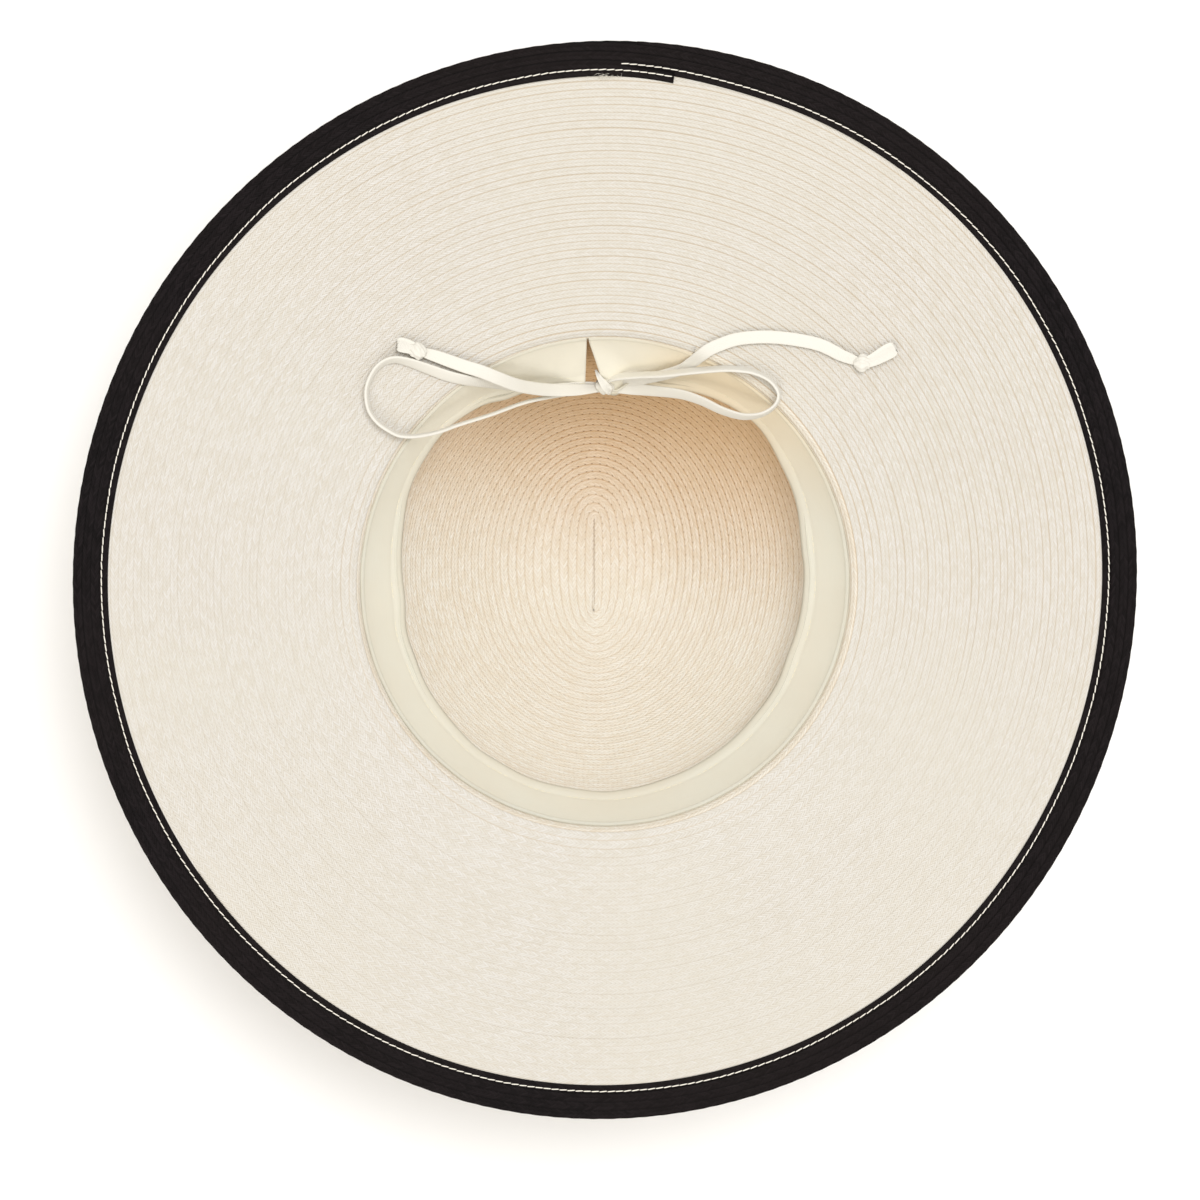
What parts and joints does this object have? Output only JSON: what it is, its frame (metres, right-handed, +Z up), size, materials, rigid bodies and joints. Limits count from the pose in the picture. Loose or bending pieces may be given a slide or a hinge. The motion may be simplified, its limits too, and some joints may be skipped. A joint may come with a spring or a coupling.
{
  "type": "wide-brim sun hat",
  "caption": "Wide-brim sun hat of sewn straw braid with a dark edge, a cloth sweatband and a drawstring tied in a bow, lying on its crown.",
  "frame": {"origin": "middle of the crown's flat top, on the surface that the hat lies on, crown down", "axes": "+Z up, out of the head opening; +Y towards the back of the hat, where the bow is; +X to the right seen from above with the back at the top"},
  "size_m": [0.4037, 0.4112, 0.1188],
  "materials": {
    "straw": "matt sewn straw braid",
    "dark_straw": "matt dark sewn braid",
    "band_cloth": "matt cotton cloth",
    "string_cloth": "matt flat cotton tape"
  },
  "bodies": {
    "root": {"crown_tip": "straw", "crown_side": "straw", "brim": "straw", "edge_braid": "dark_straw", "sweatband": "band_cloth", "bow_knot": "string_cloth", "bow_loop_left": "string_cloth", "bow_loop_right": "string_cloth", "bow_tail_left": "string_cloth", "bow_tail_right": "string_cloth", "tail_knot_left": "string_cloth", "tail_knot_right": "string_cloth"}
  },
  "joints": []
}
